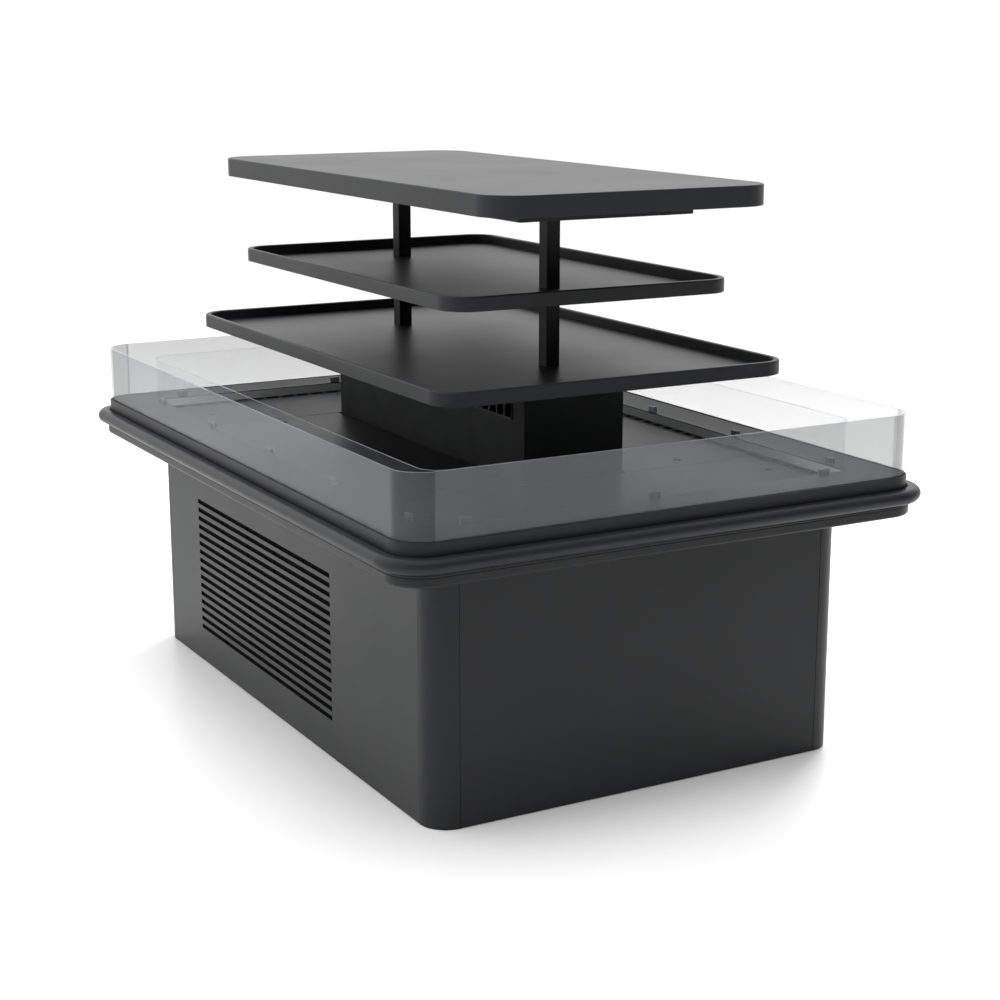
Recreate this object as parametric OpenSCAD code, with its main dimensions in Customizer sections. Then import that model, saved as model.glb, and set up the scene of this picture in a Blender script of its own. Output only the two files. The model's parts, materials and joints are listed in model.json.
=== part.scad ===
// Refrigerated island merchandiser: an open display deck over a self-contained cabinet,
// with two tray shelves and a canopy on central uprights. Millimetres, +Z up.
// The origin is on the floor under the middle; +X is to the right across the short end,
// +Y runs back along the louvred side.

$fn = 64;

/* [Cabinet] */
// Cabinet width, across the short end
base_w = 1213; // [1010:1:1460]
// Cabinet length, along the louvred side
base_d = 1845; // [1535:1:2220]
// Height of the cabinet panels above the floor
base_h = 657; // [600:1:790]
// Outer radius of the cabinet's corner panels
base_r = 73; // [60:1:90]
// Thickness of the cabinet sheet
sheet = 1.5; // [1:0.1:2]
// Depth of the folded edges behind each panel
fold = 22; // [18:1:28]
// Gap between the panels and the floor
floor_gap = 2; // [1:0.5:4]
// Seam between neighbouring panels
seam = 1; // [0.6:0.1:2]

/* [Louvres] */
// Number of louvre slots
slot_count = 16; // [8:1:18]
// Length of each slot
slot_len = 950; // [600:1:1150]
// Height of each slot
slot_h = 13; // [8:1:16]
// Height from one slot to the next
slot_pitch = 26; // [20:1:27]
// Height of the lowest slot's lower edge
slot_z = 105; // [90:1:120]
// Distance of the slots' middle behind the cabinet's middle
slot_shift = 129; // [0:1:140]

/* [Top frame] */
// How far the deck rim stands out past the cabinet
rim_over = 134; // [110:1:165]
// Height of the whole top frame
frame_h = 103; // [96:1:125]
// Outer corner radius of the deck rim
rim_r = 85; // [70:1:102]
// Height of the lower flange
flange_h = 35; // [30:1:38]
// How far the lower flange stands out past the rim
flange_step = 9; // [6:1:12]
// Height of the bumper
bumper_h = 37; // [30:1:42]
// How far the bumper stands out past the rim
bumper_over = 38.5; // [34:0.5:45]
// Thickness of the top frame's sheet
frame_t = 2.5; // [2:0.1:3]

/* [Guards] */
// Height of the outer guard above the rim
guard_h = 160.5; // [120:0.5:195]
// Thickness of the outer guard
guard_t = 6; // [5:0.5:8]
// Thickness of the gasket on each side of the guard
gasket_t = 2; // [1.5:0.1:3]
// Depth of the slot that holds the guard
guard_slot = 18; // [14:1:24]
// Height of the inner fence's top above the rim
fence_h = 133; // [100:1:160]
// Thickness of the inner fence
fence_t = 5; // [4:0.5:6]
// How far the inner fence stands outside the cabinet's outline
fence_over = 16; // [12:1:24]
// Outer corner radius of the inner fence
fence_r = 60; // [45:1:72]

/* [Tank] */
// Depth of the display deck below the rim
deck_drop = 25; // [20:1:34]
// Depth of the liner's step below the rim
step_drop = 70; // [64:1:84]
// Depth of the liner's floor below the rim
bowl_drop = 310; // [280:1:330]
// Thickness of the insulation round the bowl
foam_t = 45; // [35:1:54]
// Thickness of the liner and shell sheet
tank_t = 1.5; // [1:0.1:2]

/* [Deck] */
// Width of the return-air strip round the deck
return_w = 36; // [30:1:43]
// Thickness of the deck pans' sheet
pan_t = 1.5; // [1:0.1:2]
// Height of the deck pans' turned-down edges
pan_edge = 25; // [18:1:28]
// Gap between neighbouring deck pans
pan_gap = 3; // [2:0.5:5]
// Half width of the centre plenum
plenum_w2 = 150; // [130:1:180]
// Half length of the centre plenum
plenum_d2 = 560; // [500:1:610]

/* [Shelves] */
// Width of the lower shelf
shelf2_w = 1021; // [860:1:1200]
// Length of the lower shelf
shelf2_d = 1608; // [1350:1:1800]
// Height of the lower shelf's underside above the rim
shelf2_rise = 244; // [230:1:292]
// Width of the upper shelf
shelf1_w = 836; // [700:1:1000]
// Length of the upper shelf
shelf1_d = 1358; // [1140:1:1620]
// Height of the upper shelf's underside above the lower shelf's
shelf1_rise = 205; // [170:1:246]
// Corner radius of the shelves
shelf_r = 80; // [60:1:96]
// Height of the shelves' raised rim
shelf_h = 37; // [30:1:44]
// Width of the shelves' folded rim
shelf_hem = 16; // [12:1:20]
// Side of the square uprights
post_w = 40; // [34:1:48]
// Distance of each upright from the middle
post_y = 430; // [390:1:470]

/* [Canopy] */
// Width of the canopy
canopy_w = 808; // [680:1:960]
// Length of the canopy
canopy_d = 1738; // [1450:1:2080]
// Height of the canopy's underside above the upper shelf's
canopy_rise = 238; // [200:1:285]
// Thickness of the canopy
canopy_t = 53; // [44:1:64]
// Corner radius of the canopy
canopy_r = 100; // [80:1:120]
// How far the lamp housing is set in from the canopy's edge
housing_in = 150; // [130:1:170]
// Depth of the lamp housing below the canopy
housing_h = 25; // [20:1:30]

/* [Condensing unit] */
// Length of the condenser coil
coil_len = 440; // [380:1:520]
// Height of the condenser coil
coil_h = 250; // [244:1:260]
// Thickness of the condenser coil
coil_t = 50; // [42:1:56]
// Tip radius of the condenser fan
cond_fan_r = 112; // [100:1:116]
// Radius of the compressor shell
comp_r = 88; // [76:1:92]

/* [Evaporator] */
// Length of the evaporator coil
evap_len = 840; // [700:1:880]
// Tip radius of the evaporator fans
evap_fan_r = 92; // [80:1:98]
// Distance of each evaporator fan from the middle
evap_fan_x = 220; // [190:1:250]

/* [Running gear] */
// Radius of the fan shafts
shaft_r = 5; // [4:0.5:6]
// Radius of the levelling feet's screws
screw_r = 6; // [5:0.5:8]
// Radial running clearance of shafts and screws
run_gap = 0.05; // [0.03:0.01:0.09]
// Radius of the levelling feet's pads
pad_r = 24; // [20:1:25]
// Radius of the thermostat knob
knob_r = 17; // [14:0.5:19]
// Width of the power rocker
rocker_w = 20; // [16:0.5:24]

/* [Hidden] */
eps = 0.01;

// Heights above the floor
rim_z = base_h + frame_h;
guard_z = rim_z + guard_h;
deck_z = rim_z - deck_drop;
step_z = rim_z - step_drop;
bowl_z = rim_z - bowl_drop;
tank_z = bowl_z - tank_t - foam_t - tank_t;
shelf2_z = rim_z + shelf2_rise;
shelf1_z = shelf2_z + shelf1_rise;
canopy_z = shelf1_z + canopy_rise;

// Plan sizes
rim_w = base_w + 2 * rim_over;
rim_d = base_d + 2 * rim_over;
flange_r = rim_r + flange_step;
slot_in = 2 * gasket_t;
slot_w = guard_t + 2 * gasket_t;

// Cabinet panels
panel_x = base_w - 2 * base_r - 2 * seam;
panel_y = base_d - 2 * base_r - 2 * seam;
panel_h = base_h - floor_gap;

// Base frame
angle_w = 40;
angle_t = 4;
rail_z = 30;
frame_w2 = base_w / 2 - fold;
frame_d2 = base_d / 2 - fold;
shelf_t = 1.5;
frame_edge_r = 3;
bar_offsets = [-319, -115, 141, 341];
side_post_ys = [-frame_d2 / 2, frame_d2 / 2 + 60];

// Liner and shell: half sizes of their lower and upper parts
shell_low = fold + 2;
liner_low = shell_low + tank_t + foam_t + tank_t;
shell_up = -40;
liner_r = 30;
shell_r = 45;
port_r = 20;
port_in = 160.5;
drain_r = 16;
shell_step = base_h + frame_t;
under_rim = rim_z - frame_t;

// Deck
support_t = 6;
support_gap = 2;
support_z = deck_z - pan_edge;
pan_w2 = base_w / 2 - support_gap - return_w - pan_gap;
pan_d2 = base_d / 2 - support_gap - return_w - pan_gap;
bar_w = 45;
plenum_gap = 8;
finger_r = 11;
pan_split = plenum_d2 + plenum_gap;
pan_in = plenum_w2 + plenum_gap;

// Inner fence
fence_w = base_w + 2 * fence_over;
fence_d = base_d + 2 * fence_over;
clip_base = 3;

// Plenum and uprights
plenum_z = shelf2_z - 30;
vent_h = 55;
vent_z = plenum_z - 25 - vent_h;
vent_d2 = plenum_d2 - 60;
foot_plate = 110;
foot_plate_t = 6;
post_t = 2.5;
bracket_h = 20;
bracket_t = 8;
post_top = canopy_z - housing_h;

// Condensing unit
unit_y = slot_shift;
bar_h = 38;
tray_z = rail_z + angle_t + bar_h;
tray_t = 2;
tray_lip = 14;
coil_x = -frame_w2 + 12;
coil_z = tray_z + tray_t + 8;
shroud_x = coil_x + coil_t;
shroud_d = 44;
ring_gap = 6;
fan_z = coil_z + coil_h / 2;
fan_x = shroud_x + shroud_d;
fan_depth = 24;
motor_r = 42;
motor_len = 70;
comp_x = fan_x + fan_depth + 194.5;
comp_y = unit_y - 120;
comp_plate = comp_r + 22;
mount_h = 14;
comp_z = tray_z + tray_t + mount_h;
comp_h = 115;
stub_z = 104;
stub_len = 10;
condensate_xy = [comp_x + 280, unit_y + 46];
port_xy = [comp_x + 110, base_d / 2 - liner_low - port_in];
drain_xy = condensate_xy + [130, 125];
dryer_x = comp_x - 70;

// Evaporator
evap_d = 150;
evap_h = 170;
evap_y = port_xy[1] - evap_d - 60;
evap_z = bowl_z + 20;
wall_t = 2;
wall_y = evap_y - 90;
wall_z = step_z - 6;
evap_fan_z = (bowl_z + step_z) / 2;
evap_ring_gap = 6;

// Feet
foot_x = frame_w2 - angle_w / 2;
foot_y = frame_d2 - angle_w / 2;
pad_h = 10;
nut_h = 16;
screw_top = rail_z + angle_t + nut_h + 22;

// Controls on the right side panel, below the tank
ctrl_y = -500;
ctrl_z = 250;
bezel_w = 150;
bezel_h = 64;
bezel_t = 3;
knob_y = ctrl_y + 34;
knob_len = 16;
spindle_r = 3;
rocker_y = ctrl_y - 40;
rocker_r = 16;
rocker_tilt = 8;
rocker_gap = 0.5;
inlet_x = panel_x / 2 - 132.5;
inlet_z = 130;

charcoal = "#3a3b3d";
black = "#17181a";
galvanised = "#a9adb0";
steel = "#c4c7c9";
copper = "#b9703f";
foam = "#d9cfa6";
white = "#eef0f0";
clear = [0.75, 0.77, 0.78, 0.35];

// ---------- shared shapes ----------

// Rectangle with round corners, centred
module rrect(w, d, r) {
    square([w - 2 * r, d], center = true);
    square([w, d - 2 * r], center = true);
    for (sx = [-1, 1], sy = [-1, 1])
        translate([sx * (w / 2 - r), sy * (d / 2 - r)]) circle(r = r);
}

// Flat ring between two rounded rectangles, from z0 up by h; inset is measured inwards
module ring(w, d, r, inset, z0, h, r_in = -1) {
    translate([0, 0, z0]) linear_extrude(height = h) difference() {
        rrect(w, d, r);
        rrect(w - 2 * inset, d - 2 * inset, r_in < 0 ? max(r - inset, 2) : r_in);
    }
}

// Profile carried round a rounded rectangle; x = 0 is the outer face, x < 0 is inwards
module sweep_ring(w, d, r) {
    for (i = [0 : 3]) {
        sx = (i == 0 || i == 3) ? 1 : -1;
        sy = i < 2 ? 1 : -1;
        len = i % 2 == 0 ? w - 2 * r : d - 2 * r;
        translate([sx * (w / 2 - r), sy * (d / 2 - r), 0]) {
            rotate([0, 0, 90 * i]) rotate_extrude(angle = 90) translate([r, 0]) children();
            rotate([0, 0, 90 * (i + 1)]) translate([0, len, 0]) rotate([90, 0, 0])
                linear_extrude(height = len) translate([r, 0]) children();
        }
    }
}

// Box given by its two corners
module block(a, b) {
    translate(a) cube(b - a);
}

// Pipe along axis-aligned points, with round elbows
module pipe(points, r) {
    for (i = [0 : len(points) - 2]) {
        a = points[i];
        b = points[i + 1];
        v = b - a;
        translate(a)
            rotate(v[0] != 0 ? [0, v[0] > 0 ? 90 : -90, 0] : v[1] != 0 ? [v[1] > 0 ? -90 : 90, 0, 0]
                : [v[2] > 0 ? 0 : 180, 0, 0])
            cylinder(r = r, h = norm(v));
    }
    for (i = [1 : len(points) - 2]) translate(points[i]) sphere(r = r);
}

// Fan with its shaft along +Z, its hub from z = 0 to depth
module fan(tip_r, hub_r, depth, blades, pitch) {
    blade_t = 2;
    chord = tip_r * 0.62;
    difference() {
        union() {
            cylinder(r = hub_r, h = depth);
            for (i = [0 : blades - 1]) rotate([0, 0, i * 360 / blades]) intersection() {
                translate([hub_r - 3, -chord / 2, depth / 2 - blade_t / 2])
                    translate([0, chord / 2, blade_t / 2]) rotate([pitch, 0, 0])
                    translate([0, -chord / 2, -blade_t / 2]) cube([tip_r, chord, blade_t]);
                cylinder(r = tip_r, h = depth);
            }
        }
        translate([0, 0, -1]) cylinder(r = shaft_r + run_gap, h = depth + 2);
    }
}

// Fin-and-tube coil: fins across X, tubes along X
module coil(len, d, h, fin_pitch, rows, cols, tube_r) {
    fin_t = 1.2;
    fins = floor((len - 8) / fin_pitch);
    for (i = [0 : fins])
        translate([4 + i * (len - 8 - fin_t) / fins, 0, 0]) cube([fin_t, d, h]);
    for (x = [0, len - 3]) translate([x, -3, -3]) cube([3, d + 6, h + 6]);
    for (c = [0 : cols - 1], r = [0 : rows - 1])
        translate([-6, (c + 0.5) * d / cols, (r + 0.5) * h / rows])
            rotate([0, 90, 0]) cylinder(r = tube_r, h = len + 12, $fn = 24);
}

// ---------- cabinet ----------

// Angle iron standing at the +X +Y corner
module corner_post() {
    block([frame_w2 - angle_t, frame_d2 - angle_w, rail_z], [frame_w2, frame_d2 - frame_edge_r, tank_z]);
    block([frame_w2 - angle_w, frame_d2 - angle_t, rail_z], [frame_w2 - frame_edge_r, frame_d2, tank_z]);
}

// T-section bar across the frame, under the condensing unit
module cross_bar(y) {
    translate([-frame_w2 + angle_t, y - angle_w / 2, rail_z + angle_t])
        cube([2 * (frame_w2 - angle_t), angle_w, angle_t]);
    translate([-frame_w2 + angle_t, y - angle_t / 2, rail_z + angle_t])
        cube([2 * (frame_w2 - angle_t), angle_t, bar_h]);
}

// Welded angle-iron frame: two rings, posts, cross bars and foot nuts
module base_frame() {
    color(galvanised) difference() {
        union() {
            for (z = [rail_z, tank_z - angle_w]) {
                leg_z = z == rail_z ? z : z + angle_w - angle_t;
                ring(2 * frame_w2, 2 * frame_d2, frame_edge_r, angle_t, z, angle_w);
                ring(2 * frame_w2, 2 * frame_d2, frame_edge_r, angle_w, leg_z, angle_t);
            }
            for (sx = [-1, 1], sy = [-1, 1])
                mirror([sx < 0 ? 1 : 0, 0, 0]) mirror([0, sy < 0 ? 1 : 0, 0]) corner_post();
            for (sx = [-1, 1], y = side_post_ys)
                translate([sx < 0 ? -frame_w2 : frame_w2 - angle_t, y - angle_w / 2, rail_z])
                    cube([angle_t, angle_w, tank_z - rail_z]);
            for (y = bar_offsets) cross_bar(unit_y + y);
            for (sx = [-1, 1], sy = [-1, 1])
                translate([sx * foot_x, sy * foot_y, rail_z + angle_t - 1])
                    cylinder(r = screw_r + 6, h = nut_h + 1, $fn = 6);
        }
        for (sx = [-1, 1], sy = [-1, 1])
            translate([sx * foot_x, sy * foot_y, rail_z - 1])
                cylinder(r = screw_r + run_gap, h = angle_t + nut_h + 2);
    }
}

// Pan-formed panel, len long and h high, facing -Y from the origin, folded edges behind
module folded_panel(len, h, depth) {
    difference() {
        cube([len, depth, h]);
        translate([sheet, sheet, sheet]) cube([len - 2 * sheet, depth, h - 2 * sheet]);
    }
}

module side_panel_right() {
    color(charcoal) difference() {
        translate([base_w / 2, -panel_y / 2, floor_gap]) rotate([0, 0, 90])
            folded_panel(panel_y, panel_h, fold);
        translate([base_w / 2 - sheet - 1, ctrl_y - bezel_w / 2 + 8, ctrl_z - bezel_h / 2 + 8])
            cube([sheet + 2, bezel_w - 16, bezel_h - 16]);
    }
}

module end_panel_front() {
    color(charcoal) translate([-panel_x / 2, -base_d / 2, floor_gap])
        folded_panel(panel_x, panel_h, fold);
}

module end_panel_rear() {
    color(charcoal) difference() {
        translate([panel_x / 2, base_d / 2, floor_gap]) rotate([0, 0, 180])
            folded_panel(panel_x, panel_h, fold);
        translate([inlet_x - 22, base_d / 2 - sheet - 1, inlet_z - 16])
            cube([44, sheet + 2, 32]);
    }
}

// Quarter-round corner panel with folded edges, for the +X +Y corner
module corner_panel(sx, sy) {
    color(charcoal) mirror([sx < 0 ? 1 : 0, 0, 0]) mirror([0, sy < 0 ? 1 : 0, 0])
        translate([base_w / 2 - base_r, base_d / 2 - base_r, floor_gap])
        linear_extrude(height = panel_h) union() {
            intersection() {
                difference() {
                    circle(r = base_r);
                    circle(r = base_r - sheet);
                }
                square(base_r + 1);
            }
            translate([base_r - fold, 0]) square([fold - eps, sheet]);
            translate([0, base_r - fold]) square([sheet, fold - eps]);
        }
}

// Lift-off panel with the louvre slots
module louvre_panel() {
    back = 0.5;
    color(charcoal) difference() {
        translate([-base_w / 2, panel_y / 2, floor_gap]) rotate([0, 0, -90])
            folded_panel(panel_y, panel_h - 1, fold - back);
        for (i = [0 : slot_count - 1])
            translate([-base_w / 2 - 1, slot_shift - slot_len / 2, slot_z + i * slot_pitch])
                cube([sheet + 2, slot_len, slot_h]);
    }
}

// Washable mesh filter clipped behind the slots
module air_filter() {
    rib = 12;
    h = slot_pitch * slot_count + 2 * rib;
    len = slot_len + 2 * rib;
    x0 = -base_w / 2 + sheet;
    color(black) translate([x0, slot_shift - len / 2, slot_z - rib - 6]) union() {
        difference() {
            cube([8, len, h]);
            translate([-1, rib, rib]) cube([10, len - 2 * rib, h - 2 * rib]);
        }
        translate([3, rib - 1, rib - 1]) cube([2, len - 2 * rib + 2, h - 2 * rib + 2]);
        for (i = [1 : 4]) translate([0, i * len / 5 - 3, rib - 1]) cube([8, 6, h - 2 * rib + 2]);
    }
}

// Levelling foot: round pad, hex collar and screw
module levelling_foot(sx, sy) {
    color(steel) translate([sx * foot_x, sy * foot_y, 0]) {
        cylinder(r1 = pad_r, r2 = pad_r - 3, h = pad_h);
        translate([0, 0, pad_h - 1]) cylinder(r = screw_r + 4, h = 11, $fn = 6);
        cylinder(r = screw_r, h = screw_top);
    }
}

// ---------- condensing unit ----------

module unit_tray() {
    x0 = -frame_w2 + angle_t + 2;
    x1 = comp_x + 200;
    y0 = unit_y - coil_len / 2 - 30;
    y1 = unit_y + coil_len / 2 + 70;
    color(galvanised) difference() {
        block([x0, y0, tray_z], [x1, y1, tray_z + tray_lip]);
        block([x0 + tray_t, y0 + tray_t, tray_z + tray_t], [x1 - tray_t, y1 - tray_t, tray_z + tray_lip + 1]);
    }
}

// Hermetic shell with domed ends, base plate, terminal box and service stubs
module compressor() {
    dome_r = comp_r * 1.25;
    drop = sqrt(dome_r * dome_r - comp_r * comp_r);
    color(black) translate([comp_x, comp_y, comp_z]) {
        translate([-comp_plate, -comp_plate * 0.7, 0]) cube([2 * comp_plate, 1.4 * comp_plate, 4]);
        translate([0, 0, 4]) cylinder(r = comp_r * 0.8, h = 12);
        translate([0, 0, 14]) cylinder(r = comp_r, h = comp_h);
        intersection() {
            translate([0, 0, 14 + comp_h - drop]) sphere(r = dome_r);
            translate([0, 0, 14 + comp_h - eps]) cylinder(r = comp_r, h = dome_r);
        }
        translate([0, 0, 14 + comp_h * 0.55]) cylinder(r = comp_r + 3, h = 5);
        translate([0, 0, stub_z]) rotate([0, 90, 0]) cylinder(r = 9, h = comp_r + stub_len);
        translate([-28, -comp_r - 26, 50]) cube([56, 34, 62]);
    }
}

module compressor_mounts() {
    in = 15;
    color("#222222") for (sx = [-1, 1], sy = [-1, 1])
        translate([comp_x + sx * (comp_plate - in), comp_y + sy * (comp_plate * 0.7 - in), tray_z + tray_t]) {
            cylinder(r = 13, h = mount_h);
            translate([0, 0, mount_h + 4]) cylinder(r = 9, h = 5);
        }
}

module condenser_coil() {
    color(galvanised) translate([coil_x, unit_y - coil_len / 2, coil_z])
        multmatrix([[0, 1, 0, 0], [1, 0, 0, 0], [0, 0, 1, 0], [0, 0, 0, 1]])
        coil(coil_len, coil_t, coil_h, 11, 10, 2, 4);
}

// Sheet box behind the coil with a round outlet and fan ring
module fan_shroud() {
    t = 1.5;
    hole_r = cond_fan_r + ring_gap;
    color(black) difference() {
        union() {
            translate([shroud_x + 3, unit_y - coil_len / 2, coil_z]) cube([shroud_d - 3, coil_len, coil_h]);
            translate([fan_x - 1, unit_y, fan_z]) rotate([0, 90, 0]) cylinder(r = hole_r + 2, h = fan_depth);
        }
        translate([shroud_x, unit_y - coil_len / 2 + t, coil_z + t])
            cube([shroud_d - t, coil_len - 2 * t, coil_h - 2 * t]);
        translate([shroud_x, unit_y, fan_z]) rotate([0, 90, 0])
            cylinder(r = hole_r, h = shroud_d + fan_depth + 2);
    }
}

module condenser_fan() {
    color(galvanised) translate([fan_x, unit_y, fan_z]) rotate([0, 90, 0])
        fan(cond_fan_r, 20, fan_depth, 5, 16);
}

module condenser_motor() {
    x0 = fan_x + fan_depth + 6;
    color(black) {
        translate([x0, unit_y, fan_z]) rotate([0, 90, 0]) cylinder(r = motor_r, h = motor_len);
        translate([fan_x + 2, unit_y, fan_z]) rotate([0, 90, 0]) cylinder(r = shaft_r, h = fan_depth + 6);
        translate([x0 + 10, unit_y - 30, tray_z + tray_t])
            cube([4, 60, fan_z - tray_z - tray_t - motor_r + 6]);
        translate([x0 + 10, unit_y - 30, tray_z + tray_t]) cube([40, 60, 4]);
    }
}

// Liquid line from the condenser through the filter drier to the evaporator
module liquid_line() {
    r = 4;
    y = unit_y + coil_len / 2 + 24;
    px = port_xy[0] - 9;
    low_z = coil_z + 40;
    high_z = tank_z - 60;
    end_z = evap_z + 30;
    dryer_len = 90;
    color(copper) {
        pipe([
            [coil_x + coil_t / 2, unit_y + coil_len / 2 + 6, low_z],
            [coil_x + coil_t / 2, y, low_z],
            [dryer_x, y, low_z]
        ], r);
        translate([dryer_x - 1, y, low_z]) rotate([0, 90, 0]) cylinder(r = 22, h = dryer_len + 2);
        pipe([
            [dryer_x + dryer_len, y, low_z],
            [px, y, low_z],
            [px, y, high_z],
            [px, port_xy[1], high_z],
            [px, port_xy[1], end_z],
            [px, evap_y + evap_d + 8, end_z]
        ], r);
    }
}

// Suction line from the evaporator back to the compressor
module suction_line() {
    r = 7;
    px = port_xy[0] + 7;
    start_z = evap_z + 110;
    high_z = tank_z - 30;
    color(copper) pipe([
        [px, evap_y + evap_d + 8, start_z],
        [px, port_xy[1], start_z],
        [px, port_xy[1], high_z],
        [px, comp_y, high_z],
        [px, comp_y, comp_z + stub_z],
        [comp_x + comp_r + stub_len, comp_y, comp_z + stub_z]
    ], r);
}

module condensate_pan() {
    w = 300;
    d = 310;
    h = 55;
    t = 2;
    color(galvanised) translate([condensate_xy[0], condensate_xy[1], tray_z]) difference() {
        cube([w, d, h]);
        translate([t, t, t]) cube([w - 2 * t, d - 2 * t, h]);
    }
}

// Drain from the liner's floor down into the condensate pan
module drain_pipe() {
    inner_r = 9;
    low_z = tray_z + 22;
    color(white) translate([drain_xy[0], drain_xy[1], 0]) difference() {
        union() {
            translate([0, 0, low_z]) cylinder(r = drain_r - 2, h = bowl_z - low_z);
            translate([0, 0, bowl_z]) cylinder(r = drain_r + 10, h = 2);
        }
        translate([0, 0, low_z - 1]) cylinder(r = inner_r, h = bowl_z - low_z + 10);
    }
}

module electrical_box() {
    x0 = base_w / 2 - sheet - 130;
    x1 = base_w / 2 - fold - 18;
    half_len = 110;
    color(galvanised)
        block([x0, ctrl_y - half_len, rail_z + angle_w + 2], [x1, ctrl_y + half_len, ctrl_z + 75]);
}

// Control plate with a knob seat and a rocker window
module control_bezel() {
    seat_x = base_w / 2 - sheet;
    color(black) difference() {
        union() {
            translate([base_w / 2, ctrl_y - bezel_w / 2, ctrl_z - bezel_h / 2])
                cube([bezel_t, bezel_w, bezel_h]);
            translate([seat_x - 12, ctrl_y - bezel_w / 2 + 9, ctrl_z - bezel_h / 2 + 9])
                cube([12 + sheet + 1, bezel_w - 18, bezel_h - 18]);
        }
        translate([seat_x - 13, knob_y, ctrl_z]) rotate([0, 90, 0])
            cylinder(r = spindle_r + run_gap, h = 30);
        translate([seat_x - 9, rocker_y - rocker_w / 2 - rocker_gap, ctrl_z - rocker_r - rocker_gap])
            cube([30, rocker_w + 2 * rocker_gap, 2 * (rocker_r + rocker_gap)]);
    }
}

module thermostat_knob() {
    x0 = base_w / 2 + bezel_t + 0.5;
    color(black) difference() {
        union() {
            translate([x0, knob_y, ctrl_z]) rotate([0, 90, 0]) cylinder(r = knob_r, h = knob_len);
            translate([base_w / 2 - 12, knob_y, ctrl_z]) rotate([0, 90, 0])
                cylinder(r = spindle_r, h = knob_len);
        }
        for (i = [0 : 17]) translate([x0 + 4, knob_y, ctrl_z]) rotate([i * 20 + 10, 0, 0])
            translate([0, 0, knob_r]) rotate([0, 90, 0]) cylinder(r = 1.2, h = knob_len, $fn = 16);
        translate([x0 + knob_len - 1, knob_y - 1, ctrl_z]) cube([2, 2, knob_r + 1]);
    }
}

// Rocker, resting at its "on" side; it tilts about a cross axis behind the bezel
module power_rocker() {
    face = 7;
    color("#222222") translate([base_w / 2 - 2, rocker_y, ctrl_z]) rotate([0, rocker_tilt, 0])
        rotate([90, 0, 0]) linear_extrude(height = rocker_w, center = true) intersection() {
            circle(r = rocker_r);
            polygon([[-5, -15], [face, -15], [face - 2.2, 0], [face, 15], [-5, 15]]);
        }
}

// Mains inlet recess in the rear panel, with three flat pins
module power_inlet() {
    color(black) translate([inlet_x, base_d / 2, inlet_z]) difference() {
        union() {
            translate([-30, 0, -24]) cube([60, 3, 48]);
            translate([-21, -18, -15]) cube([42, 19, 30]);
        }
        translate([-17, -14, -11]) cube([34, 18, 22]);
    }
    color(steel) for (p = [[-9, -3], [9, -3], [0, 4]])
        translate([inlet_x + p[0] - 1, base_d / 2 - 15, inlet_z + p[1] - 3]) cube([2, 13, 6]);
}

// ---------- tank ----------

// Two-part tank volume: a lower bowl inset by low, an upper part inset by up
module tank_volume(low, up, z0, z_step, z1, r_low, r_up) {
    translate([0, 0, z0]) linear_extrude(height = z_step - z0 + eps)
        rrect(base_w - 2 * low, base_d - 2 * low, r_low);
    translate([0, 0, z_step]) linear_extrude(height = z1 - z_step)
        rrect(base_w - 2 * up, base_d - 2 * up, r_up);
}

module shell_inside() {
    tank_volume(shell_low + tank_t, shell_up + tank_t, tank_z + tank_t, shell_step + tank_t, under_rim,
        shell_r - tank_t, shell_r);
}

module liner_outside() {
    tank_volume(liner_low - tank_t, -tank_t, bowl_z - tank_t, step_z - tank_t, under_rim,
        liner_r + tank_t, liner_r + tank_t);
}

module liner_inside() {
    tank_volume(liner_low, 0, bowl_z, step_z, under_rim + 1, liner_r, liner_r);
}

// Sleeve holes for the refrigerant lines and the drain
module tank_ports() {
    translate([port_xy[0], port_xy[1], tank_z - 1]) cylinder(r = port_r, h = 2 * foam_t);
    translate([drain_xy[0], drain_xy[1], tank_z - 1]) cylinder(r = drain_r, h = 2 * foam_t);
}

module tank_shell() {
    color(galvanised) difference() {
        tank_volume(shell_low, shell_up, tank_z, shell_step, under_rim, shell_r, shell_r + tank_t);
        shell_inside();
        tank_ports();
    }
}

module tank_insulation() {
    color(foam) difference() {
        shell_inside();
        liner_outside();
        tank_ports();
    }
}

module tank_liner() {
    color(white) difference() {
        liner_outside();
        liner_inside();
        tank_ports();
    }
}

module evaporator_coil() {
    color(galvanised) {
        translate([-evap_len / 2, evap_y, evap_z]) coil(evap_len, evap_d, evap_h, 22, 5, 4, 5);
        for (sx = [-1, 1]) translate([sx * (evap_len / 2 - 20) - 10, evap_y + 10, bowl_z])
            cube([20, evap_d - 20, evap_z - bowl_z + 1]);
    }
}

// Bulkhead across the bowl with a round hole for each fan
module evap_fan_plate() {
    w2 = base_w / 2 - liner_low - 2;
    color(galvanised) difference() {
        translate([-w2, wall_y, bowl_z]) cube([2 * w2, wall_t, wall_z - bowl_z]);
        for (sx = [-1, 1]) translate([sx * evap_fan_x, wall_y - 1, evap_fan_z]) rotate([-90, 0, 0])
            cylinder(r = evap_fan_r + evap_ring_gap, h = wall_t + 2);
    }
}

// Two fan motors, each on a bar across its hole
module evap_motors() {
    arm = evap_fan_r + evap_ring_gap + 14;
    color(black) for (sx = [-1, 1]) translate([sx * evap_fan_x, wall_y, evap_fan_z]) {
        translate([-arm, -6, -9]) cube([2 * arm, 6, 18]);
        translate([0, -5, 0]) rotate([90, 0, 0]) cylinder(r = 32, h = 50);
        rotate([-90, 0, 0]) translate([0, 0, -7]) cylinder(r = shaft_r, h = 34);
    }
}

module evap_fan(sx) {
    color(black) translate([sx * evap_fan_x, wall_y + wall_t + 4, evap_fan_z]) rotate([-90, 0, 0])
        fan(evap_fan_r, 18, 20, 5, 16);
}

// ---------- display deck ----------

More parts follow.
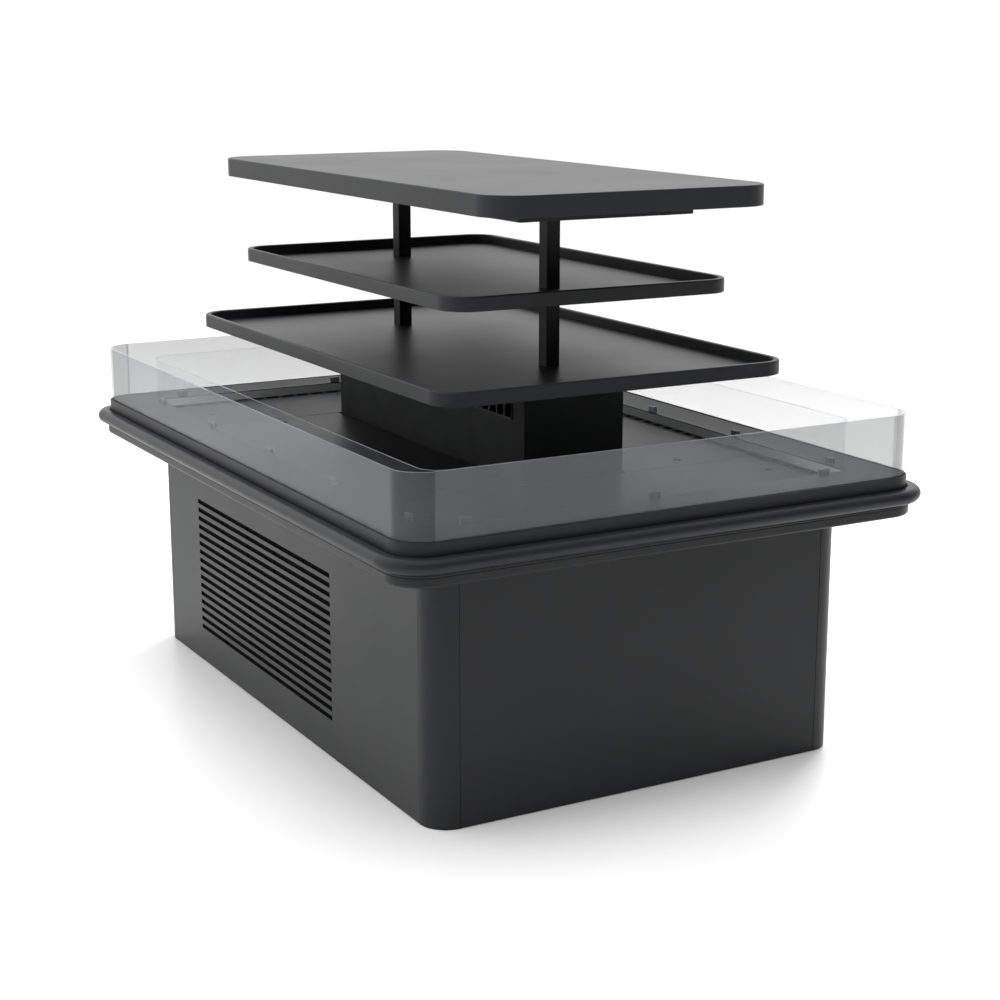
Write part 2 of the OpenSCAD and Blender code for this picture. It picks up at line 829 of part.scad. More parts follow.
// Frame of flat bars on the liner's step that carries the pans and the plenum
module pan_supports() {
    w2 = base_w / 2 - support_gap;
    d2 = base_d / 2 - support_gap;
    z0 = support_z - support_t;
    cross_y = plenum_d2 + plenum_gap;
    color(steel) union() {
        ring(2 * w2, 2 * d2, liner_r - support_gap, 3, step_z, z0 - step_z + 1);
        ring(2 * w2, 2 * d2, liner_r - support_gap, return_w + 34, z0, support_t, 4);
        for (sy = [-1, 1]) {
            translate([-w2 + 5, sy * cross_y - bar_w / 2, z0]) cube([2 * w2 - 10, bar_w, support_t]);
            translate([-plenum_w2, sy * post_y - foot_plate / 2 - 8, z0])
                cube([2 * plenum_w2, foot_plate + 16, support_t]);
        }
        for (sx = [-1, 1])
            translate([sx * plenum_w2 - bar_w / 2, -cross_y, z0]) cube([bar_w, 2 * cross_y, support_t]);
    }
}

// Slotted strip between the pans and the liner wall
module return_grille() {
    w2 = base_w / 2 - support_gap;
    d2 = base_d / 2 - support_gap;
    t = 3;
    cut = return_w - 14;
    nx = floor((2 * w2 - 60) / 52);
    ny = floor((2 * d2 - 60) / 52);
    color(black) difference() {
        union() {
            ring(2 * w2, 2 * d2, liner_r - support_gap, return_w, deck_z - t, t, 4);
            ring(2 * w2, 2 * d2, liner_r - support_gap, 2, support_z, pan_edge - t + 1);
            ring(2 * (w2 - return_w + 2), 2 * (d2 - return_w + 2), 6, 2, support_z, pan_edge - t + 1, 4);
        }
        for (sy = [-1, 1], i = [0 : nx - 1])
            translate([(i - (nx - 1) / 2) * 52 - 21, sy * (d2 - return_w / 2) - cut / 2, deck_z - t - 1])
                cube([42, cut, t + 2]);
        for (sx = [-1, 1], i = [0 : ny - 1])
            translate([sx * (w2 - return_w / 2) - cut / 2, (i - (ny - 1) / 2) * 52 - 21, deck_z - t - 1])
                cube([cut, 42, t + 2]);
    }
}

// Deck pan with turned-down edges and two finger holes
module deck_pan(x0, x1, y0, y1, along_x) {
    w = x1 - x0;
    d = y1 - y0;
    lift = 0.3;
    color(charcoal) translate([x0, y0, support_z + lift]) difference() {
        cube([w, d, pan_edge - lift]);
        translate([pan_t, pan_t, -pan_t]) cube([w - 2 * pan_t, d - 2 * pan_t, pan_edge - lift]);
        for (s = [-1, 1])
            translate([w / 2 + (along_x ? s * (w / 2 - 60) : 0), d / 2 + (along_x ? 0 : s * (d / 2 - 60)), 0])
                cylinder(r = finger_r, h = pan_edge + 1);
    }
}

module deck_pan_front() {
    deck_pan(-pan_w2, pan_w2, -pan_d2, -pan_split - pan_gap / 2, true);
}

module deck_pan_rear() {
    deck_pan(-pan_w2, pan_w2, pan_split + pan_gap / 2, pan_d2, true);
}

module deck_pan_left() {
    deck_pan(-pan_w2, -pan_in, -pan_split + pan_gap / 2, pan_split - pan_gap / 2, false);
}

module deck_pan_right() {
    deck_pan(pan_in, pan_w2, -pan_split + pan_gap / 2, pan_split - pan_gap / 2, false);
}

// ---------- top frame ----------

// Sheet frame: lower flange, rim wall, guard slot and deck ledge
module top_frame() {
    flange_w = rim_w + 2 * flange_step;
    flange_d = rim_d + 2 * flange_step;
    inner = 2 * slot_in + guard_t;
    lip_z = base_h + flange_h - frame_t;
    under_w = base_w - 2 * fold;
    under_d = base_d - 2 * fold;
    color(charcoal) {
        translate([0, 0, base_h]) linear_extrude(height = frame_t) difference() {
            rrect(flange_w, flange_d, flange_r);
            rrect(under_w, under_d, 40);
        }
        ring(flange_w, flange_d, flange_r, frame_t, base_h, flange_h);
        ring(flange_w, flange_d, flange_r, flange_step + slot_in, lip_z, frame_t, rim_r - slot_in);
        ring(rim_w, rim_d, rim_r, slot_in, lip_z, rim_z - lip_z);
        ring(rim_w, rim_d, rim_r, inner + 2, rim_z - guard_slot - 2, 2, rim_r - inner - 2);
        ring(rim_w - 2 * inner, rim_d - 2 * inner, rim_r - inner, 2, rim_z - guard_slot - 2, guard_slot + 2);
        translate([0, 0, rim_z - frame_t]) linear_extrude(height = frame_t) difference() {
            rrect(rim_w - 2 * inner, rim_d - 2 * inner, rim_r - inner);
            rrect(base_w, base_d, liner_r);
        }
    }
}

// Rubber bumper with a half-round face
module bumper() {
    w = rim_w + 2 * bumper_over;
    d = rim_d + 2 * bumper_over;
    r = rim_r + bumper_over;
    nose = bumper_h / 2;
    color("#2b2c2e") translate([0, 0, base_h + flange_h]) sweep_ring(w, d, r) {
        translate([-nose, nose]) circle(r = nose);
        translate([-bumper_over, 0]) square([bumper_over - nose, bumper_h]);
    }
}

// Rubber channel that grips the guard
module guard_gasket() {
    w = rim_w - 2 * slot_in;
    d = rim_d - 2 * slot_in;
    r = rim_r - slot_in;
    z = rim_z - guard_slot;
    color(black) difference() {
        ring(w, d, r, slot_w, z, guard_slot);
        ring(w - 2 * gasket_t, d - 2 * gasket_t, r - gasket_t, guard_t, z + gasket_t, guard_slot);
    }
}

module outer_guard() {
    in = slot_in + gasket_t;
    color(clear) ring(rim_w - 2 * in, rim_d - 2 * in, rim_r - in, guard_t, rim_z - guard_slot + gasket_t,
        guard_h + guard_slot - gasket_t);
}

module inner_fence() {
    color(clear) ring(fence_w, fence_d, fence_r, fence_t, rim_z + clip_base, fence_h - clip_base);
}

// U-clip for the fence, 30 mm long along Y, centred on the glass
module fence_clip() {
    wall = 2.5;
    h = 16;
    len = 30;
    w = fence_t + 2 * wall;
    translate([-w / 2, -len / 2, 0]) difference() {
        cube([w, len, h]);
        translate([wall, -1, clip_base]) cube([fence_t, len + 2, h]);
    }
}

module fence_clips() {
    x = fence_w / 2 - fence_t / 2;
    y = fence_d / 2 - fence_t / 2;
    run_x = fence_w - 2 * fence_r - 80;
    run_y = fence_d - 2 * fence_r - 80;
    color(steel) {
        for (sx = [-1, 1], i = [0 : 4])
            translate([sx * x, (i - 2) * run_y / 4, rim_z]) fence_clip();
        for (sy = [-1, 1], i = [0 : 2])
            translate([(i - 1) * run_x / 2, sy * y, rim_z]) rotate([0, 0, 90]) fence_clip();
    }
}

// ---------- centre ----------

// Duct box between the deck and the lower shelf, with a vent along each side
module plenum() {
    t = 1.5;
    z0 = support_z;
    color(black) difference() {
        block([-plenum_w2, -plenum_d2, z0], [plenum_w2, plenum_d2, plenum_z]);
        block([-plenum_w2 + t, -plenum_d2 + t, z0 - 1], [plenum_w2 - t, plenum_d2 - t, plenum_z - t]);
        block([-plenum_w2 - 1, -vent_d2, vent_z], [plenum_w2 + 1, vent_d2, vent_z + vent_h]);
        for (sy = [-1, 1]) translate([-post_w / 2 - 1, sy * post_y - post_w / 2 - 1, plenum_z - 5])
            cube([post_w + 2, post_w + 2, 10]);
    }
}

// Slotted discharge grilles in the plenum's vents
module discharge_grilles() {
    n = floor(2 * vent_d2 / 40);
    frame = 5;
    t = 6;
    color("#2b2c2e") for (sx = [-1, 1]) mirror([sx < 0 ? 1 : 0, 0, 0])
        translate([plenum_w2 - 3, 0, 0]) difference() {
            block([0, -vent_d2, vent_z], [t, vent_d2, vent_z + vent_h]);
            for (i = [0 : n - 1]) translate([-1, (i - (n - 1) / 2) * 40 - 17, vent_z + frame])
                cube([t + 2, 34, vent_h - 2 * frame]);
        }
}

module upright(sy) {
    color(black) translate([0, sy * post_y, support_z]) {
        difference() {
            union() {
                translate([-post_w / 2, -post_w / 2, 0]) cube([post_w, post_w, post_top - support_z]);
                translate([-foot_plate / 2, -foot_plate / 2, 0]) cube([foot_plate, foot_plate, foot_plate_t]);
                translate([-foot_plate / 2, -foot_plate / 2, post_top - support_z - foot_plate_t])
                    cube([foot_plate, foot_plate, foot_plate_t]);
            }
            translate([-post_w / 2 + post_t, -post_w / 2 + post_t, -1])
                cube([post_w - 2 * post_t, post_w - 2 * post_t, post_top - support_z + 2]);
        }
    }
}

// Tray shelf: flat floor inside a folded, round-topped rim
module tray_shelf(w, d, z) {
    nose = 5;
    floor_z = 8;
    color(charcoal) translate([0, 0, z]) difference() {
        union() {
            sweep_ring(w, d, shelf_r) difference() {
                union() {
                    translate([-shelf_hem, 0]) square([shelf_hem, shelf_h - nose]);
                    translate([-shelf_hem + nose, 0]) square([shelf_hem - 2 * nose, shelf_h]);
                    translate([-nose, shelf_h - nose]) circle(r = nose);
                    translate([-shelf_hem + nose, shelf_h - nose]) circle(r = nose);
                }
                translate([-shelf_hem + shelf_t, -1]) square([shelf_hem - 2 * shelf_t, shelf_h - 6]);
            }
            translate([0, 0, floor_z]) linear_extrude(height = shelf_t)
                rrect(w - 2 * shelf_hem + 1, d - 2 * shelf_hem + 1, shelf_r - shelf_hem + 0.5);
        }
        for (sy = [-1, 1]) translate([-post_w / 2 - 0.5, sy * post_y - post_w / 2 - 0.5, -1])
            cube([post_w + 1, post_w + 1, 20]);
    }
}

module lower_shelf() {
    tray_shelf(shelf2_w, shelf2_d, shelf2_z);
}

module upper_shelf() {
    tray_shelf(shelf1_w, shelf1_d, shelf1_z);
}

// Tapered arm, reach long, hanging below the shelf's floor
module bracket_arm(reach) {
    rim_clear = 8;
    rotate([90, 0, 0]) linear_extrude(height = bracket_t, center = true) polygon([
        [0, 0],
        [0, -bracket_h - rim_clear],
        [60, -bracket_h - rim_clear],
        [reach, -rim_clear],
        [reach, 0]
    ]);
}

// Arms under each shelf, in pairs on each upright
module shelf_brackets() {
    floor_z = 8;
    side_y = post_w / 2 + bracket_t / 2;
    color(black)
        for (s = [[shelf2_w, shelf2_z], [shelf1_w, shelf1_z]], sy = [-1, 1], sx = [-1, 1], k = [-1, 1])
            mirror([sx < 0 ? 1 : 0, 0, 0])
                translate([0, sy * post_y + k * side_y, s[1] + floor_z]) bracket_arm(s[0] / 2 - 60);
}

// ---------- canopy ----------

module canopy() {
    wall = 2;
    lip = 14;
    color(charcoal) {
        ring(canopy_w, canopy_d, canopy_r, wall, canopy_z, canopy_t);
        ring(canopy_w, canopy_d, canopy_r, lip, canopy_z, wall);
        translate([0, 0, canopy_z + canopy_t - wall]) linear_extrude(height = wall)
            rrect(canopy_w, canopy_d, canopy_r);
    }
}

// Underside panel with the lamp housing pressed down from it
module canopy_soffit() {
    wall = 2;
    t = 1.5;
    hw = canopy_w - 2 * housing_in;
    hd = canopy_d - 2 * housing_in;
    r = 12;
    color(black) {
        translate([0, 0, canopy_z + wall]) linear_extrude(height = t) difference() {
            rrect(canopy_w - 2 * wall, canopy_d - 2 * wall, canopy_r - wall);
            rrect(hw - 2 * t, hd - 2 * t, r - t);
        }
        ring(hw, hd, r, t, canopy_z - housing_h, housing_h + wall + t);
        translate([0, 0, canopy_z - housing_h]) linear_extrude(height = t) rrect(hw, hd, r);
    }
}

module lamp_diffusers() {
    w = 34;
    h = 7;
    len = canopy_d - 2 * housing_in - 120;
    x = canopy_w / 2 - housing_in - 45;
    color(white) for (sx = [-1, 1]) translate([sx * x, len / 2, canopy_z - housing_h]) rotate([90, 0, 0])
        linear_extrude(height = len) union() {
            translate([-w / 2, -2]) square([w, 2]);
            translate([-w / 2 + 5, -h]) square([w - 10, h]);
            for (s = [-1, 1]) intersection() {
                translate([s * (w / 2 - 5), -2]) circle(r = 5);
                translate([-w / 2, -h]) square([w, h]);
            }
        }
}

// ---------- assembly ----------

base_frame();
side_panel_right();
end_panel_front();
end_panel_rear();
corner_panel(-1, -1);  // corner_panel_front_left
corner_panel(1, -1);  // corner_panel_front_right
corner_panel(1, 1);  // corner_panel_rear_right
corner_panel(-1, 1);  // corner_panel_rear_left
unit_tray();
compressor();
compressor_mounts();
condenser_coil();
fan_shroud();
condenser_motor();
liquid_line();
suction_line();
condensate_pan();
drain_pipe();
electrical_box();
control_bezel();
power_inlet();
tank_shell();
tank_insulation();
tank_liner();
evaporator_coil();
evap_fan_plate();
evap_motors();
pan_supports();
return_grille();
top_frame();
bumper();
guard_gasket();
outer_guard();
inner_fence();
fence_clips();
plenum();
discharge_grilles();
upright(-1);  // upright_front
upright(1);  // upright_rear
lower_shelf();
upper_shelf();
shelf_brackets();
canopy();
canopy_soffit();
lamp_diffusers();
louvre_panel();
air_filter();
condenser_fan();
evap_fan(-1);  // evap_fan_left
evap_fan(1);  // evap_fan_right
power_rocker();
thermostat_knob();
levelling_foot(-1, -1);  // levelling_foot_1
levelling_foot(1, -1);  // levelling_foot_2
levelling_foot(1, 1);  // levelling_foot_3
levelling_foot(-1, 1);  // levelling_foot_4
deck_pan_front();
deck_pan_rear();
deck_pan_left();
deck_pan_right();
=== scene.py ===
"""Looks of a refrigerated island merchandiser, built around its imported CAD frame.

Run as a script in Blender 4.5. Every new piece takes its place from the frame's own nodes.
"""

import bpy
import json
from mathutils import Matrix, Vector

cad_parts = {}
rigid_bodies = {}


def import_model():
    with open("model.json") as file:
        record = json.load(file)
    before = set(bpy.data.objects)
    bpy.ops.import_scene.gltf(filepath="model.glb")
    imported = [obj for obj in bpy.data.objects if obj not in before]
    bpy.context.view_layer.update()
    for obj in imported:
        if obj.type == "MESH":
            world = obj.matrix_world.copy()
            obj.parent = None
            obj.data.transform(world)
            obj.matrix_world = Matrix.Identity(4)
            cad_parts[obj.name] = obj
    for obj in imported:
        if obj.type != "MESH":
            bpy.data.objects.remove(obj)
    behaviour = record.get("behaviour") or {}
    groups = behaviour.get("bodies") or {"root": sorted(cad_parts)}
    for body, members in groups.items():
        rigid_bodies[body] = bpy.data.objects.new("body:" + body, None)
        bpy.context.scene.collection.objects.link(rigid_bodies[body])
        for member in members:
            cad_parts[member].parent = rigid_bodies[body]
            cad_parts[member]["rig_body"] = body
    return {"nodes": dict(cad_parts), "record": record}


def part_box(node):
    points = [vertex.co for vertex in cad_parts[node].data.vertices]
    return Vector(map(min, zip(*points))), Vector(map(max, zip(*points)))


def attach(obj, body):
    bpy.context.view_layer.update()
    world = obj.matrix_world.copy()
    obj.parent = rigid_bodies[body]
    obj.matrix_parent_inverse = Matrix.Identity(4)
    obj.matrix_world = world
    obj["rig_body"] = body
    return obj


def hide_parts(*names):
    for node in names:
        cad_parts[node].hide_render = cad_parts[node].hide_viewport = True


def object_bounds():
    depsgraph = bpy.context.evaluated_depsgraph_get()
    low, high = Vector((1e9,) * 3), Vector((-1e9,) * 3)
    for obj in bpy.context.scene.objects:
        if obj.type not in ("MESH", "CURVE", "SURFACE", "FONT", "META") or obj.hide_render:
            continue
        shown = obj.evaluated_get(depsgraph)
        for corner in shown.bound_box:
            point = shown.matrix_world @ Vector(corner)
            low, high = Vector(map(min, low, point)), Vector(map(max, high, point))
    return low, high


bl_info = {
    "name": "Refrigerated island merchandiser",
    "version": (1, 0, 0),
    "blender": (4, 5, 0),
    "location": "3D View > Sidebar > Merchandiser",
    "description": "Detailed pieces and finishes around the merchandiser's CAD frame",
    "category": "Object",
}

import json
import math

import bmesh
import bpy
from bpy.props import FloatProperty, FloatVectorProperty, IntProperty, PointerProperty
from mathutils import Matrix, Vector

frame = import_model()
cad_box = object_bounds()

MM = 0.001
TOUCHING = 1e-6
SMOOTH_ANGLE = math.radians(38)
FLAT_ANGLE = math.radians(0.4)
QUARTER = math.pi / 2
ROUND_STEP = 1.5 * MM
NOISE = "ShaderNodeTexNoise"
CELLS = "ShaderNodeTexVoronoi"
DRIFT_LOW, DRIFT_HIGH = 0.3, 0.7


# ---------- colours and nodes ----------


def linear(code):
    """An sRGB hex colour as linear red, green, blue and alpha."""
    parts = [int(code[i : i + 2], 16) / 255 for i in (1, 3, 5)]
    low, slope, offset, power = 0.04045, 12.92, 0.055, 2.4
    return [
        p / slope if p <= low else ((p + offset) / (1 + offset)) ** power for p in parts
    ] + [1.0]


def add(tree, kind, sockets=None, **settings):
    """Add one node. A socket gets a number or colour to hold, or another node's output to link."""
    node = tree.nodes.new(kind)
    for name, value in settings.items():
        setattr(node, name, value)
    for name, value in (sockets or {}).items():
        if isinstance(value, bpy.types.NodeSocket):
            tree.links.new(value, node.inputs[name])
        else:
            node.inputs[name].default_value = value
    return node


def weathered(name, relief, grain, depth, drift, colours, rough, stretch=(1, 1, 1), **sockets):
    """A finish of two patterns: a fine relief for the light to catch, and slow drifts of shade.

    The relief is a texture's kind. Grain is its size, depth its height and drift the size of the
    drifts, all in metres. The drifts pass between the two colours and the two roughnesses.
    """
    material = bpy.data.materials.new(name)
    material.use_nodes = True
    tree = material.node_tree
    tree.nodes.clear()
    at = add(tree, "ShaderNodeTexCoord").outputs["Object"]
    drawn = add(tree, "ShaderNodeMapping", {"Vector": at, "Scale": [1 / s for s in stretch]})
    fine = add(tree, relief, {"Vector": drawn.outputs["Vector"], "Scale": 1 / grain})
    slow = add(
        tree, "ShaderNodeTexNoise", {"Vector": at, "Scale": 1 / drift, "Detail": 3.0}
    ).outputs["Fac"]
    normal = add(tree, "ShaderNodeBump", {"Height": fine.outputs[0], "Distance": depth})
    span = {"Value": slow, "From Min": DRIFT_LOW, "From Max": DRIFT_HIGH}
    share = add(tree, "ShaderNodeMapRange", span)
    tone = add(
        tree,
        "ShaderNodeMix",
        {0: share.outputs["Result"], 6: colours[0], 7: colours[1]},
        data_type="RGBA",
    )
    gloss = add(tree, "ShaderNodeMapRange", {**span, "To Min": rough[0], "To Max": rough[1]})
    shader = add(
        tree,
        "ShaderNodeBsdfPrincipled",
        {
            "Base Color": tone.outputs[2],
            "Roughness": gloss.outputs["Result"],
            "Normal": normal.outputs["Normal"],
            **{key.replace("_", " "): value for key, value in sockets.items()},
        },
    )
    add(tree, "ShaderNodeOutputMaterial", {"Surface": shader.outputs["BSDF"]})
    return material


def make_materials():
    """Every finish of the object, named by what it is and how it was made."""
    look = bpy.context.scene.island_colours
    made = {}

    # Polyester powder, sprayed and baked: dark satin grey with a fine orange peel, brighter where
    # it is seen at a low angle. The real peel is about 1 mm across; it is drawn 4 mm across.
    made["charcoal_paint"] = weathered(
        "powder_coat_charcoal_baked",
        NOISE,
        4 * MM,
        0.004 * MM,
        0.3,
        (list(look.cabinet) + [1.0], linear("#1f2022")),
        (0.4, 0.43),
        Specular_IOR_Level=0.24,
    )

    # Black stoving enamel on the duct and posts, brushed by goods: almost no colour, dull. The
    # black is partly its own and partly painted shade, darker than real enamel so that the middle
    # of the fixture falls back. Peel drawn 3 mm across, coarser than real.
    made["black_paint"] = weathered(
        "stoving_enamel_black_sprayed_painted_shade",
        NOISE,
        3 * MM,
        0.03 * MM,
        0.15,
        (linear("#0f1011"), linear("#161719")),
        (0.48, 0.6),
        Specular_IOR_Level=0.3,
    )

    # Plasticised PVC, extruded and bent round the corners: a soft dull black-grey whose faint flow
    # marks vary the gloss a little. The skin's pebbles are drawn 5 mm across, coarser than real.
    made["bumper_vinyl"] = weathered(
        "pvc_bumper_extruded",
        CELLS,
        5 * MM,
        0.02 * MM,
        0.12,
        (list(look.bumper) + [1.0], linear("#232426")),
        (0.36, 0.42),
        Specular_IOR_Level=0.24,
    )

    # EPDM rubber channel: matt, nearly black, no clear highlight. The skin's pebbles are drawn 3 mm
    # across, coarser than real.
    made["gasket_rubber"] = weathered(
        "epdm_gasket_extruded",
        CELLS,
        3 * MM,
        0.05 * MM,
        0.08,
        (linear("#121213"), linear("#1a1a1b")),
        (0.7, 0.85),
    )

    # Hot-dip galvanised sheet: pale grey with zinc crystals about 12 mm across, raised at their
    # edges, and a slow bloom of dull zinc between brighter patches.
    made["galvanised_steel"] = weathered(
        "zinc_galvanised_hot_dipped",
        CELLS,
        12 * MM,
        0.15 * MM,
        0.03,
        (linear("#8e9396"), linear("#b3b7ba")),
        (0.34, 0.52),
        Metallic=1.0,
    )

    # Stainless bar and turned screws, brushed along their length: bright, with fine streaks. Real
    # streaks are 0.1 mm wide; they are drawn 1 mm wide.
    made["stainless_steel"] = weathered(
        "stainless_steel_brushed",
        NOISE,
        1 * MM,
        0.02 * MM,
        0.07,
        (linear("#c2c4c6"), linear("#a9acaf")),
        (0.24, 0.38),
        (1, 1, 12),
        Metallic=1.0,
    )

    # Aluminium fin stock, stamped and stacked: pale, slightly oily sheen, streaked along the fins.
    made["fin_aluminium"] = weathered(
        "aluminium_fin_stamped",
        NOISE,
        2 * MM,
        0.03 * MM,
        0.05,
        (linear("#c9ccce"), linear("#aeb2b5")),
        (0.3, 0.45),
        (1, 1, 8),
        Metallic=1.0,
    )

    # Drawn copper tube, handled and left in air: warm metal with browner patches of oxide.
    made["copper_tube"] = weathered(
        "copper_tube_drawn",
        NOISE,
        3 * MM,
        0.02 * MM,
        0.04,
        (linear("#c27b52"), linear("#7d4a30")),
        (0.22, 0.42),
        Metallic=1.0,
    )

    # Pre-painted white sheet of the tank: clean, faintly warm, easily wiped, so fairly glossy.
    made["liner_enamel"] = weathered(
        "polyester_enamel_white_rolled",
        NOISE,
        6 * MM,
        0.03 * MM,
        0.25,
        (linear("#dfe1e0"), linear("#d3d6d6")),
        (0.28, 0.36),
    )

    # Polyurethane foam, poured: cream, rough skin with cells a few millimetres across.
    made["insulation_foam"] = weathered(
        "polyurethane_foam_poured",
        CELLS,
        5 * MM,
        0.8 * MM,
        0.1,
        (linear("#d8c795"), linear("#c2ad74")),
        (0.8, 0.95),
    )

    # ABS with a spark-eroded mould texture: even fine grain, dull black. Grain drawn 2 mm across,
    # coarser than real.
    made["black_plastic"] = weathered(
        "abs_black_moulded",
        CELLS,
        2 * MM,
        0.04 * MM,
        0.05,
        (linear("#131415"), linear("#1b1c1d")),
        (0.45, 0.6),
    )

    # Rigid PVC pipe, extruded: off-white and smooth, drawn out along its length.
    made["white_plastic"] = weathered(
        "pvc_pipe_white_extruded",
        NOISE,
        8 * MM,
        0.02 * MM,
        0.06,
        (linear("#e4e5e2"), linear("#d8d9d5")),
        (0.3, 0.4),
        (1, 1, 6),
    )

    # Opal polycarbonate, extruded over the lamps: milky white that lets light sink in a little.
    made["opal_plastic"] = weathered(
        "polycarbonate_opal_extruded",
        NOISE,
        6 * MM,
        0.03 * MM,
        0.1,
        (linear("#eceeea"), linear("#e0e3df")),
        (0.35, 0.45),
        (1, 6, 1),
        Subsurface_Weight=0.2,
        Subsurface_Scale=4 * MM,
    )

    # Cast acrylic, grey-tinted, thin enough to see the deck through it: each face veils what is
    # behind it and
    # carries faint wiping marks that only show in the gloss. The bent corners are painted darker
    # and veil more:
    # painted shade for the sheet seen at a slant, through more of its thickness. The joints beside
    # them are denser still, and the polished top edge most of all. The fence is clear and hardly
    # veils.
    painted_shade_corner_veil, joint_veil, edge_veil = look.guard_veil + 0.05, 0.5, 0.75
    for slot, name, tint, veil in (
        ("guard_acrylic", "acrylic_sheet_cast_tinted", ("#76797b", "#7d8082"), look.guard_veil),
        ("guard_corner", "acrylic_corner_bent_tinted_painted_shade", ("#4b4e50", "#535658"), painted_shade_corner_veil),
        ("guard_joint", "acrylic_joint_bonded", ("#5c6062", "#66696b"), joint_veil),
        ("guard_edge", "acrylic_edge_polished", ("#6f7477", "#7b8184"), edge_veil),
        ("fence_acrylic", "acrylic_sheet_cast_clear", ("#8d9193", "#969a9c"), look.fence_veil),
    ):
        made[slot] = weathered(
            name,
            NOISE,
            0.2,
            0.03 * MM,
            0.06,
            [linear(code) for code in tint],
            (0.05, 0.12),
            (3, 3, 1),
            Alpha=veil,
            IOR=1.49,
        )

    # Polyester mesh of the washable filter: matt black cells, drawn 5 mm across, coarser than real.
    # The black is partly its own and partly painted shade, darker than real mesh, so that the
    # louvre's slots read as evenly black.
    made["filter_mesh"] = weathered(
        "polyester_filter_woven_painted_shade",
        CELLS,
        5 * MM,
        0.3 * MM,
        0.05,
        (linear("#040404"), linear("#070707")),
        (0.85, 0.95),
        Specular_IOR_Level=0.05,
    )
    return made


# ---------- shapes ----------


def node_size(name):
    """A node's lowest corner, highest corner and size."""
    low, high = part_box(name)
    return low, high, high - low


def mesh_of(bm, name, *materials):
    """Turn a bmesh into a smooth-shaded object at the origin."""
    mesh = bpy.data.meshes.new(name)
    bm.to_mesh(mesh)
    bm.free()
    mesh.shade_smooth()
    mesh.set_sharp_from_angle(angle=SMOOTH_ANGLE)
    for material in materials:
        mesh.materials.append(material)
    piece = bpy.data.objects.new(name, mesh)
    bpy.context.scene.collection.objects.link(piece)
    weighted = piece.modifiers.new("even normals", "WEIGHTED_NORMAL")
    weighted.keep_sharp = True
    return piece


def settle(piece, body, slot, *nodes):
    """Make a finished piece ride on its body and stand for its CAD nodes. The slot is not used."""
    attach(piece, body)
    if nodes:
        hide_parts(*nodes)
    return piece


def body_of(node):
    """The body that a CAD node belongs to."""
    return frame["nodes"][node]["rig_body"]


def soften(bm, edges, width, steps=2):
    """Round the given edges."""
    bmesh.ops.bevel(
        bm,
        geom=edges,
        offset=width,
        offset_type="OFFSET",
        segments=steps,
        profile=0.5,
        affect="EDGES",
        clamp_overlap=True,
        material=-1,
    )


def sharp_edges(bm, wanted=None):
    """Edges between two faces that meet at a clear angle, and that pass the wanted test."""
    return [
        e
        for e in bm.edges
        if len(e.link_faces) == 2
        and e.calc_face_angle(0) > SMOOTH_ANGLE
        and (wanted is None or wanted(e))
    ]


def from_node(node):
    """A merged copy of a CAD node's mesh, its flat faces joined up."""
    bm = bmesh.new()
    bm.from_mesh(frame["nodes"][node].data)
    bmesh.ops.remove_doubles(bm, verts=bm.verts, dist=TOUCHING)
    bmesh.ops.dissolve_limit(
        bm,
        angle_limit=FLAT_ANGLE,
        use_dissolve_boundaries=False,
        verts=bm.verts,
        edges=bm.edges,
        delimit={"NORMAL"},
    )
    return bm


def softened(node, name, slot, width, steps=2, wanted=None, finish=None):
    """A CAD node's shape with its sharp edges rounded, in its slot's finish or another."""
    bm = from_node(node)
    if width > 0:
        soften(bm, sharp_edges(bm, wanted), width, steps)
    return settle(mesh_of(bm, name, FINISH[finish or slot]), body_of(node), slot, node)


def soften_rows(*rows):
    """Several CAD nodes at once, each row being (node, name, slot, width in mm, steps)."""
    for node, name, slot, width, *steps in rows:
        softened(node, name, slot, width * MM, *steps)


def dress(node, material):
    """Keep a CAD node as it is and give it a better finish."""
    slots = frame["nodes"][node].data.materials
    slots.clear()
    slots.append(material)


def section(bm, start, points):
    """A closed section in the plane across the start, given as (out, height, rounding) corners."""
    corners = [bm.verts.new(start + Vector((out, 0, up))) for out, up, _ in points]
    bm.faces.new(corners)
    for rounding in sorted({p[2] for p in points} - {0}):
        bmesh.ops.bevel(
            bm,
            geom=[v for v, p in zip(corners, points) if p[2] == rounding],
            offset=rounding,
            offset_type="OFFSET",
            segments=max(3, math.ceil(rounding / ROUND_STEP)),
            profile=0.5,
            affect="VERTICES",
            clamp_overlap=False,
            material=-1,
        )
        corners = [v if v.is_valid else None for v in corners]
        keep = [(v, p) for v, p in zip(corners, points) if v is not None and p[2] != rounding]
        corners, points = [v for v, _ in keep], [p for _, p in keep]
    outline = list(bm.edges)
    bmesh.ops.delete(bm, geom=list(bm.faces), context="FACES_ONLY")
    return outline


def carry_round(bm, outline, width, depth, radius, steps):
    """Carry a section from the front end of the right side once round a rounded rectangle."""
    centres = [(1, 1), (-1, 1), (-1, -1), (1, -1)]
    for quarter, (sx, sy) in enumerate(centres):
        run = (depth if quarter % 2 == 0 else width) - 2 * radius
        made = bmesh.ops.extrude_edge_only(bm, edges=outline)["geom"]
        moved = [g for g in made if isinstance(g, bmesh.types.BMVert)]
        ahead = Matrix.Rotation(QUARTER * quarter, 3, "Z") @ Vector((0, run, 0))
        bmesh.ops.translate(bm, verts=moved, vec=ahead)
        held = set(moved)
        outline = [
            g for g in made if isinstance(g, bmesh.types.BMEdge) and held.issuperset(g.verts)
        ]
        turned = bmesh.ops.spin(
            bm,
            geom=moved + outline,
            cent=(sx * (width / 2 - radius), sy * (depth / 2 - radius), 0),
            axis=(0, 0, 1),
            angle=QUARTER,
            steps=steps,
            use_merge=False,
            use_duplicate=False,
        )["geom_last"]
        outline = [g for g in turned if isinstance(g, bmesh.types.BMEdge)]
    bmesh.ops.remove_doubles(bm, verts=bm.verts, dist=TOUCHING * 10)
    bmesh.ops.recalc_face_normals(bm, faces=bm.faces)


